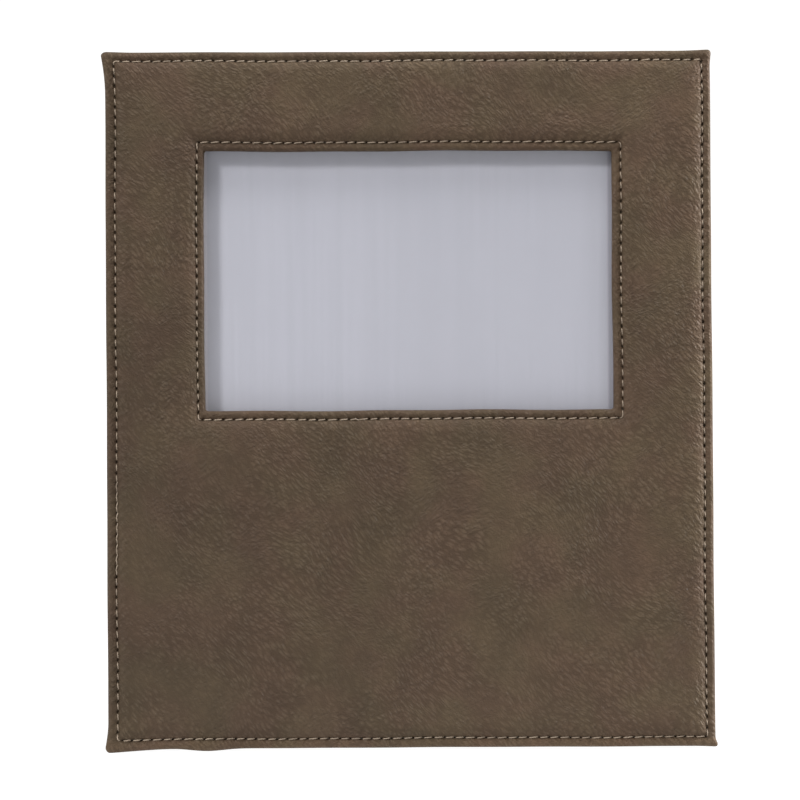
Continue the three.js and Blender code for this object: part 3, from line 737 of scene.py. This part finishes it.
def front_skin():
    """The whole padded front as one skin, turned over at its edge and into the window."""
    skin = Skin()
    layers, holes = band(EDGE_DISTANCES, outer_seam)
    behind = [(TURN_IN, SIDE_BACK), (TURN_IN, FRONT_BACK), (1.2, FRONT_BACK)]
    behind += [(0.5, 5.55), (0.12, 5.2), (0, 4.6)]
    turned = flange(outer_ring, behind)
    outline = skin.rings(turned + layers, [np.zeros(len(layers[0]))] * len(turned) + holes)
    layers, holes = band(LIP_DISTANCES, window_seam)
    behind = [(WINDOW_TURN_IN, SIDE_BACK), (WINDOW_TURN_IN, FRONT_BACK)]
    behind += [(0.5, FRONT_BACK), (0, 5.2), (0, 4.0)]
    turned = flange(window_ring, behind)
    opening = skin.rings(turned + layers, [np.zeros(len(layers[0]))] * len(turned) + holes, flip=True)
    grid = scatter(PANEL_WIDTH / 2 - BAND_END, BAND_END, PANEL_HEIGHT - BAND_END, INNER_STEP)
    clear = WINDOW_BAND_END + INNER_STEP / 2
    beside = np.abs(grid[:, 0]) > WINDOW_WIDTH / 2 + clear
    above = np.abs(grid[:, 1] - WINDOW_CENTRE) > WINDOW_HEIGHT / 2 + clear
    skin.fill(outline, opening, grid[beside | above], 0.0)
    points = np.array(skin.points)
    x, _, z = points.T
    beyond = np.maximum(np.abs(x) - WINDOW_WIDTH / 2, np.abs(z - WINDOW_CENTRE) - WINDOW_HEIGHT / 2)
    pad = smooth((panel_inset(x, z) - 5) / 12) * smooth((beyond - 5) / 12)
    points[:, 1] += undulation(x, z) * pad
    points = PANEL.world(settle(points))
    piece = add_piece("leather_front", points, skin.faces, front_leather, "frame")
    # Painted shade of the needle holes and grooves, stored as the hole attribute
    attribute = piece.data.attributes.new("hole", "FLOAT", "POINT")
    attribute.data.foreach_set("value", np.array(skin.dark, np.float32))
    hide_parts("front_cover")


def wrapped_steps(front, back, inset, turn_in):
    """A turned flange, a rounded front edge, the side and a softly rounded back edge."""
    steps = [(turn_in, front + 0.8), (turn_in, front), (inset + 0.8, front), (inset + 0.25, front + 0.25)]
    steps += [(inset, front + 0.8), (inset, back - 1.2), (inset + 0.1, back - 0.7)]
    steps += [(inset + 0.35, back - 0.3), (inset + 0.75, back - 0.08)]
    return steps + [(inset + 1.3, back), (inset + 3.0, back)]


def back_skin():
    """The wrapped board that closes the back."""
    skin = Skin(facing_back=True)
    outline = skin.rings(flange(back_ring, wrapped_steps(BACK_FRONT, BACK_FACE, BACK_INSET, TURN_IN)))
    half, top = PANEL_WIDTH / 2 - BACK_MARGIN, PANEL_HEIGHT - BACK_MARGIN
    skin.fill(outline, None, scatter(half, BACK_MARGIN, top, BACK_INNER_STEP), BACK_FACE)
    points = np.array(skin.points)
    x, depth, z = points.T
    on_face = smooth(depth - BACK_FACE + 1) * smooth((panel_inset(x, z) - 1) / 5)
    points[:, 1] += undulation(x, z) * on_face
    piece = add_piece(
        "leather_back", PANEL.world(settle(points)), skin.faces, plain_leather, "frame"
    )
    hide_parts("back_cover")


def leg_skin():
    """The wrapped easel leg, cut off flat at the floor."""
    skin = Skin(facing_back=True)
    outline = skin.rings(flange(leg_ring, wrapped_steps(LEG_FRONT, LEG_FACE, 0.0, LEG_TURN_IN)))
    grid = scatter(LEG_FOOT_WIDTH / 2, LEG_FOOT, LEG_TOP, LEG_INNER_STEP)
    slope = (LEG_FOOT_WIDTH - LEG_TOP_WIDTH) / 2 / (LEG_TOP - LEG_FOOT)
    half = LEG_TOP_WIDTH / 2 + slope * (LEG_TOP - grid[:, 1]) - LEG_MARGIN
    ends = (grid[:, 1] < LEG_TOP - LEG_CORNER) & (grid[:, 1] > LEG_FOOT + LEG_CORNER)
    skin.fill(outline, None, grid[(np.abs(grid[:, 0]) < half) & ends], LEG_FACE)
    points = np.array(skin.points)
    x, depth, z = points.T
    points[:, 1] += 0.7 * undulation(x + 30, z) * smooth(depth - LEG_FACE + 1)
    drop = depth * math.sin(LEG_ANGLE) + LEG.origin[2] / MM
    points[:, 2] = np.maximum(z, (FLOOR_GAP - drop) / math.cos(LEG_ANGLE))
    piece = add_piece(
        "leather_leg", LEG.world(points), skin.faces, plain_leather, "leg"
    )
    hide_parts("leg_cover")


front_skin()
back_skin()
leg_skin()

# Stitches

STITCH_TOP = 1.22
STITCH_FOOT = 2.5
HOLE_GAP = 0.16
STITCH_SLANT = 0.3
SLANT_SPREAD = 0.08
STITCH_SECTIONS = 12
STITCH_SIDES = 9
# How late a stitch dives: a level one lies on the skin for longer than an upright one
LEVEL_DIVE = 3.2
UPRIGHT_DIVE = 1.6
# How much higher a stitch lies that was sewn over another
REPEAT_LIFT = 0.2


def tube(centres, across, radii, twist):
    """A plied thread along its centres; each section lies in the plane of across and the depth."""
    sides = 2 * np.pi * np.arange(STITCH_SIDES) / STITCH_SIDES
    rings = []
    for centre, side, radius, turn in zip(centres, across, radii, twist):
        ply = radius * (1 + 0.13 * np.cos(3 * (sides - turn)))
        x = centre[0] + side[0] * ply * np.cos(sides)
        z = centre[2] + side[1] * ply * np.cos(sides)
        depth = centre[1] + ply * np.sin(sides)
        rings.append(np.column_stack([x, depth, z]))
    return rings


def stitch(seam, start, end, slant, lift, points, faces):
    """One stitch from needle hole to needle hole, diving into the skin at both ends."""
    share = np.linspace(0, 1, STITCH_SECTIONS)
    along = start + (end - start) * share
    flat = seam.point(along)
    heading = seam.heading(along)
    across = np.column_stack([-heading[:, 1], heading[:, 0]])
    flat = flat + across * (slant * (share - 0.5))[:, None]
    dive = np.abs(2 * share - 1) ** (LEVEL_DIVE + (UPRIGHT_DIVE - LEVEL_DIVE) * abs(heading[0, 1]))
    depth = STITCH_TOP - lift + (STITCH_FOOT - STITCH_TOP + lift) * dive
    radii = THREAD_RADIUS * (1 - 0.28 * dive)
    centres = np.column_stack([flat[:, 0], depth, flat[:, 1]])
    rings = tube(centres, across, radii, 2.4 * np.pi * share)
    first = len(points)
    for ring in rings:
        points.extend(ring.tolist())
    for number in range(STITCH_SECTIONS - 1):
        a = first + number * STITCH_SIDES
        faces.extend(ring_faces(a, a + STITCH_SIDES, STITCH_SIDES))
    faces.append(list(range(first, first + STITCH_SIDES))[::-1])
    last = first + (STITCH_SECTIONS - 1) * STITCH_SIDES
    faces.append(list(range(last, last + STITCH_SIDES)))


def sew(name, seam, node, repeats):
    """All of a seam's stitches, with doubled ones where it was sewn over again."""
    points, faces = [], []
    ends = np.append(seam.holes, seam.holes[0] + seam.length)
    for start, end in zip(ends[:-1], ends[1:]):
        slant = STITCH_SLANT + random.normal(0, SLANT_SPREAD)
        lift = random.uniform(-0.03, 0.05)
        stitch(seam, start + HOLE_GAP, end - HOLE_GAP, slant, lift, points, faces)
    for start, end in repeats:
        slant = random.uniform(-0.9, -0.5)
        stitch(seam, start, end, slant, REPEAT_LIFT, points, faces)
    piece = add_piece(name, PANEL.world(settle(points)), faces, thread, "frame")
    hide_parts(node)


def along_at(seam, x, z):
    """How far along a seam its nearest point to a place on the panel lies."""
    distance = np.hypot(seam.path[:, 0] - x, seam.path[:, 1] - z)
    return seam.at[distance.argmin()]


# The left edge was sewn over again over this stretch, and the window's seam ends in a loose tail
BACKSTITCH_HIGH = 93.0
BACKSTITCH_LOW = 63.0
TACK_LENGTH = 0.95 * STITCH_PITCH
TAIL_X = -19.0
TAIL_LENGTH = 1.6
tack_start = along_at(outer_seam, -PANEL_WIDTH / 2, BACKSTITCH_HIGH)
tack_end = along_at(outer_seam, -PANEL_WIDTH / 2, BACKSTITCH_LOW)
tacks = [(at, at + TACK_LENGTH) for at in np.arange(tack_start, tack_end, STITCH_PITCH)]
sew("outer_stitches", outer_seam, "outer_stitching", tacks)
tail_at = along_at(window_seam, TAIL_X, WINDOW_CENTRE - WINDOW_HEIGHT / 2)
sew("window_stitches", window_seam, "window_stitching", [(tail_at, tail_at + TAIL_LENGTH)])

# The ribbon that stops the leg

RIBBON_WIDTH = 0.012
RIBBON_HALF = 0.00018
RIBBON_BEND = 0.0012
RIBBON_ROWS = 110
RIBBON_COLUMNS = 12
# The free part of the ribbon is cupped a little; it starts past each riveted tab and grows over this length
RIBBON_TAB = 0.014
CUP_GROWTH = 0.02
CUP_DEPTH = 0.0005


def ribbon_path():
    """The middle line of the CAD ribbon's side, with its two bends rounded."""
    low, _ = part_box("stay_ribbon")
    side = [v.co for v in frame["nodes"]["stay_ribbon"].data.vertices if v.co.x < low.x + 1e-5]
    corners = []
    for p in side:
        near = [q for q in side if (q - p).length < RIBBON_BEND]
        middle = sum(near, Vector()) / len(near)
        if all((middle - q).length > RIBBON_BEND for q in corners):
            corners.append(middle)
    panel_end, panel_bend = sorted((p for p in corners if p.y < 0), key=lambda p: -p.z)
    leg_bend, leg_end = sorted((p for p in corners if p.y > 0), key=lambda p: p.z)
    path = [panel_end]
    for before, bend, after in ((panel_end, panel_bend, leg_bend), (panel_bend, leg_bend, leg_end)):
        start = bend + (before - bend).normalized() * RIBBON_BEND
        end = bend + (after - bend).normalized() * RIBBON_BEND
        path += [start.lerp(bend, t).lerp(bend.lerp(end, t), t) for t in (0, 0.25, 0.5, 0.75, 1)]
    return path + [leg_end], panel_bend, leg_bend


def stay_ribbon():
    path, panel_bend, leg_bend = ribbon_path()
    line = np.array([(p.y, p.z) for p in path])
    at = lengths_along(line)
    along = np.linspace(0, at[-1], RIBBON_ROWS)
    y, z = np.interp(along, at, line[:, 0]), np.interp(along, at, line[:, 1])
    heading = np.gradient(np.column_stack([y, z]), axis=0)
    heading /= np.linalg.norm(heading, axis=1)[:, None]
    free = smooth((along - RIBBON_TAB) / CUP_GROWTH) * smooth((at[-1] - RIBBON_TAB - along) / CUP_GROWTH)
    share = np.linspace(-1, 1, RIBBON_COLUMNS + 1)
    rows = []
    for j in range(RIBBON_ROWS):
        cup = free[j] * (CUP_DEPTH * share**2 + 0.00012 * np.sin(along[j] * 300 + 3 * share))
        thick = RIBBON_HALF * (1 + 0.25 * (np.abs(share) > 0.9))
        across = share * RIBBON_WIDTH / 2 * (1 - 0.01 * np.sin(along[j] * 420))
        for side in (1, -1):
            lift = cup + side * thick
            row = np.column_stack([across, y[j] - heading[j, 1] * lift, z[j] + heading[j, 0] * lift])
            rows.append(row if side > 0 else row[::-1])
    points = np.vstack(rows)
    count = 2 * (RIBBON_COLUMNS + 1)
    faces = []
    for j in range(RIBBON_ROWS - 1):
        faces.extend(ring_faces(j * count, (j + 1) * count, count))
    faces.append(list(range(count))[::-1])
    faces.append(list(range((RIBBON_ROWS - 1) * count, RIBBON_ROWS * count)))
    piece = add_piece("woven_ribbon", points, faces, ribbon_material(), None)
    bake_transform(piece)
    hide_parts("stay_ribbon")


stay_ribbon()


def dress(node, material):
    """Gives a CAD node its finished material."""
    shown = frame["nodes"][node]
    shown.data.materials.clear()
    shown.data.materials.append(material)


grey_board = board_material("grey_board", (0.2, 0.18, 0.15, 1), (0.34, 0.31, 0.26, 1), 1500.0)
lining = board_material("lining_paper", (0.03, 0.024, 0.018, 1), (0.062, 0.05, 0.038, 1), 2400.0)
foam = board_material("foam_sheet", (0.6, 0.57, 0.5, 1), (0.75, 0.72, 0.64, 1), 1800.0)
for name in ("front_board", "spacer_frame", "back_board", "leg_board"):
    dress(name, grey_board)
for name in ("back_lining", "leg_lining"):
    dress(name, lining)
dress("front_padding", foam)
dress("window_pane", pane_material())
dress("photo_insert", insert_material())
for name in frame["nodes"]:
    if name.startswith("hinge_") or name.startswith("ribbon_rivet"):
        dress(name, metal)

# The camera looks squarely at the leaning face through a long lens

CAMERA_DISTANCE = 1.5
VIEW_WIDTH = 276.0
AIM_X = -3.34
AIM_RISE = -0.14
ROLL = math.radians(-0.3)
SENSOR = 36.0


def add_camera():
    data = bpy.data.cameras.new("camera")
    data.sensor_width = SENSOR
    data.lens = SENSOR * CAMERA_DISTANCE / (VIEW_WIDTH * MM)
    data.clip_start = 0.05
    data.clip_end = 50.0
    camera = bpy.data.objects.new("camera", data)
    aim = Vector(PANEL.world([AIM_X, 0, PANEL_HEIGHT / 2 + AIM_RISE]))
    turned = Matrix((Vector((1, 0, 0)), UP, face_normal)).transposed().to_4x4()
    place = Matrix.Translation(aim + face_normal * CAMERA_DISTANCE)
    camera.matrix_world = place @ turned @ Matrix.Rotation(ROLL, 4, "Z")
    bpy.context.scene.collection.objects.link(camera)
    bpy.context.scene.camera = camera


def add_light(name, toward, distance, size, watts):
    """A soft white square light seen from the panel's middle in a direction given on the panel."""
    data = bpy.data.lights.new(name, "AREA")
    data.size = size
    data.energy = watts
    light = bpy.data.objects.new(name, data)
    x, out, up = toward
    direction = (Vector((x, 0, 0)) + face_normal * out + UP * up).normalized()
    centre = Vector(PANEL.world([0, 0, PANEL_HEIGHT / 2]))
    light.matrix_world = Matrix.Translation(centre + direction * distance) @ (
        direction.to_track_quat("Z", "Y").to_matrix().to_4x4()
    )
    bpy.context.scene.collection.objects.link(light)


FLOOR_HALF = 6.0
# The light table glows less in front of the object, and the surround is white along the horizon
GLOW_FROM, GLOW_TO = -0.3, -0.13
GLOW_FRONT, GLOW_UNDER = 0.35, 0.98
SURROUND = {"From Min": 0.05, "From Max": 0.3, "To Min": 1.0, "To Max": 0.3}


def add_stage():
    """A wide white light table under a surround that is dimmer overhead."""
    g = Graph("light_table")
    coords = g.add("ShaderNodeTexCoord").outputs["Object"]
    tooth = g.noise(coords, 40.0, 3.0)
    split = g.add("ShaderNodeSeparateXYZ")
    g.feed(split, "0", coords)
    g.material.cycles.emission_sampling = "NONE"
    glow = g.ramp(split.outputs["Y"], GLOW_FROM, GLOW_TO, GLOW_FRONT, GLOW_UNDER)
    g.set(Base_Color=g.mix(tooth, (0.1, 0.1, 0.1, 1), (0.12, 0.12, 0.12, 1)), Roughness=0.9)
    g.set(Emission_Color=(1, 1, 1, 1), Emission_Strength=glow)
    corners = [(x * FLOOR_HALF, y * FLOOR_HALF, 0) for x, y in ((-1, -1), (1, -1), (1, 1), (-1, 1))]
    mesh = bpy.data.meshes.new("floor")
    mesh.from_pydata(corners, [], [(0, 1, 2, 3)])
    mesh.materials.append(g.material)
    floor = bpy.data.objects.new("floor", mesh)
    bpy.context.scene.collection.objects.link(floor)
    world = bpy.data.worlds.new("surround")
    world.use_nodes = True
    tree = world.node_tree
    height = tree.nodes.new("ShaderNodeSeparateXYZ")
    tree.links.new(tree.nodes.new("ShaderNodeTexCoord").outputs["Generated"], height.inputs[0])
    fall = tree.nodes.new("ShaderNodeMapRange")
    fall.interpolation_type = "SMOOTHSTEP"
    for key, number in SURROUND.items():
        fall.inputs[key].default_value = number
    tree.links.new(height.outputs["Z"], fall.inputs["Value"])
    tree.links.new(fall.outputs[0], tree.nodes["Background"].inputs["Strength"])
    tree.nodes["Background"].inputs["Color"].default_value = (1, 1, 1, 1)
    bpy.context.scene.world = world
    bpy.context.scene.view_settings.view_transform = "Standard"


add_camera()
add_stage()
add_light("key", (-1.1, 1.0, 1.04), 3.0, 0.4, 51.0)
add_light("right", (1.0, 0.02, 0.3), 1.2, 0.15, 23.0)
add_light("top", (0.1, 0.25, 1.0), 1.3, 0.5, 10.0)
